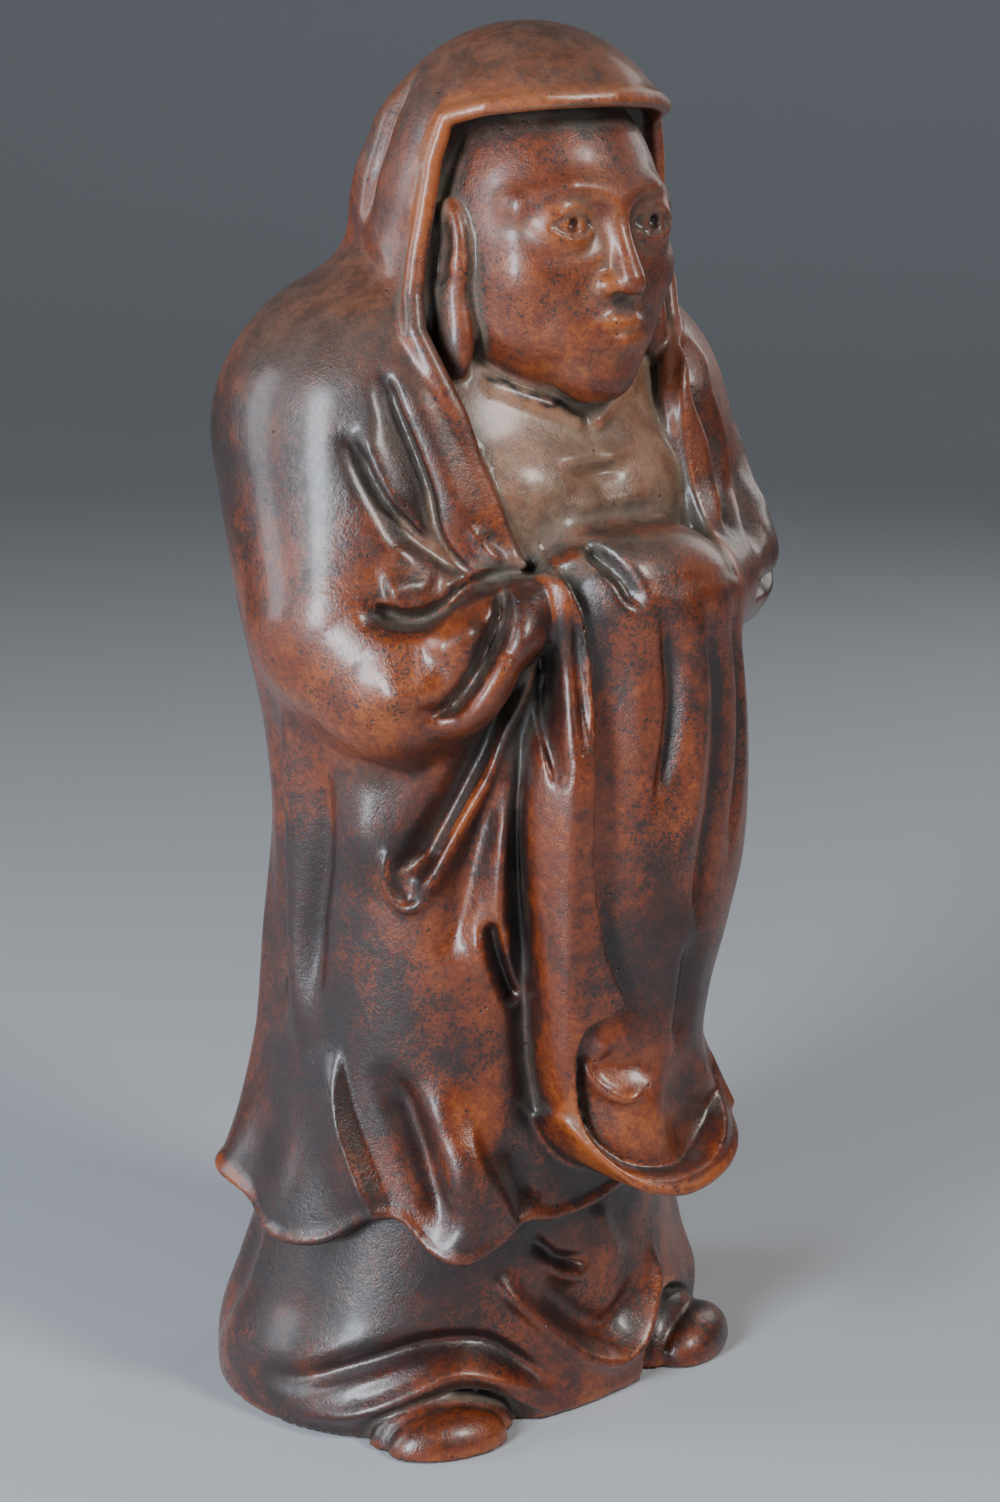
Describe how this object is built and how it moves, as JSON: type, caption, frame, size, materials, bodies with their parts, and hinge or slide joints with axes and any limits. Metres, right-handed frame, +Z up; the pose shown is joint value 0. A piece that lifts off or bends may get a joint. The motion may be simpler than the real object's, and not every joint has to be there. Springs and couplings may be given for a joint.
{
  "type": "bodhidharma statue",
  "caption": "Standing ceramic figure of a monk in a hooded robe, hands folded inside the sleeves, flat underside to stand on a shelf or table.",
  "frame": {"origin": "on the ground under the middle of the figure's box", "axes": "+Z up the figure, -Y the way it faces, +X towards its left hand"},
  "size_m": [0.176, 0.1583, 0.4001],
  "materials": {
    "stoneware": "smoke-darkened red-brown unglazed stoneware with a low kiln gloss"
  },
  "bodies": {
    "root": {"statue": "stoneware"}
  },
  "joints": []
}
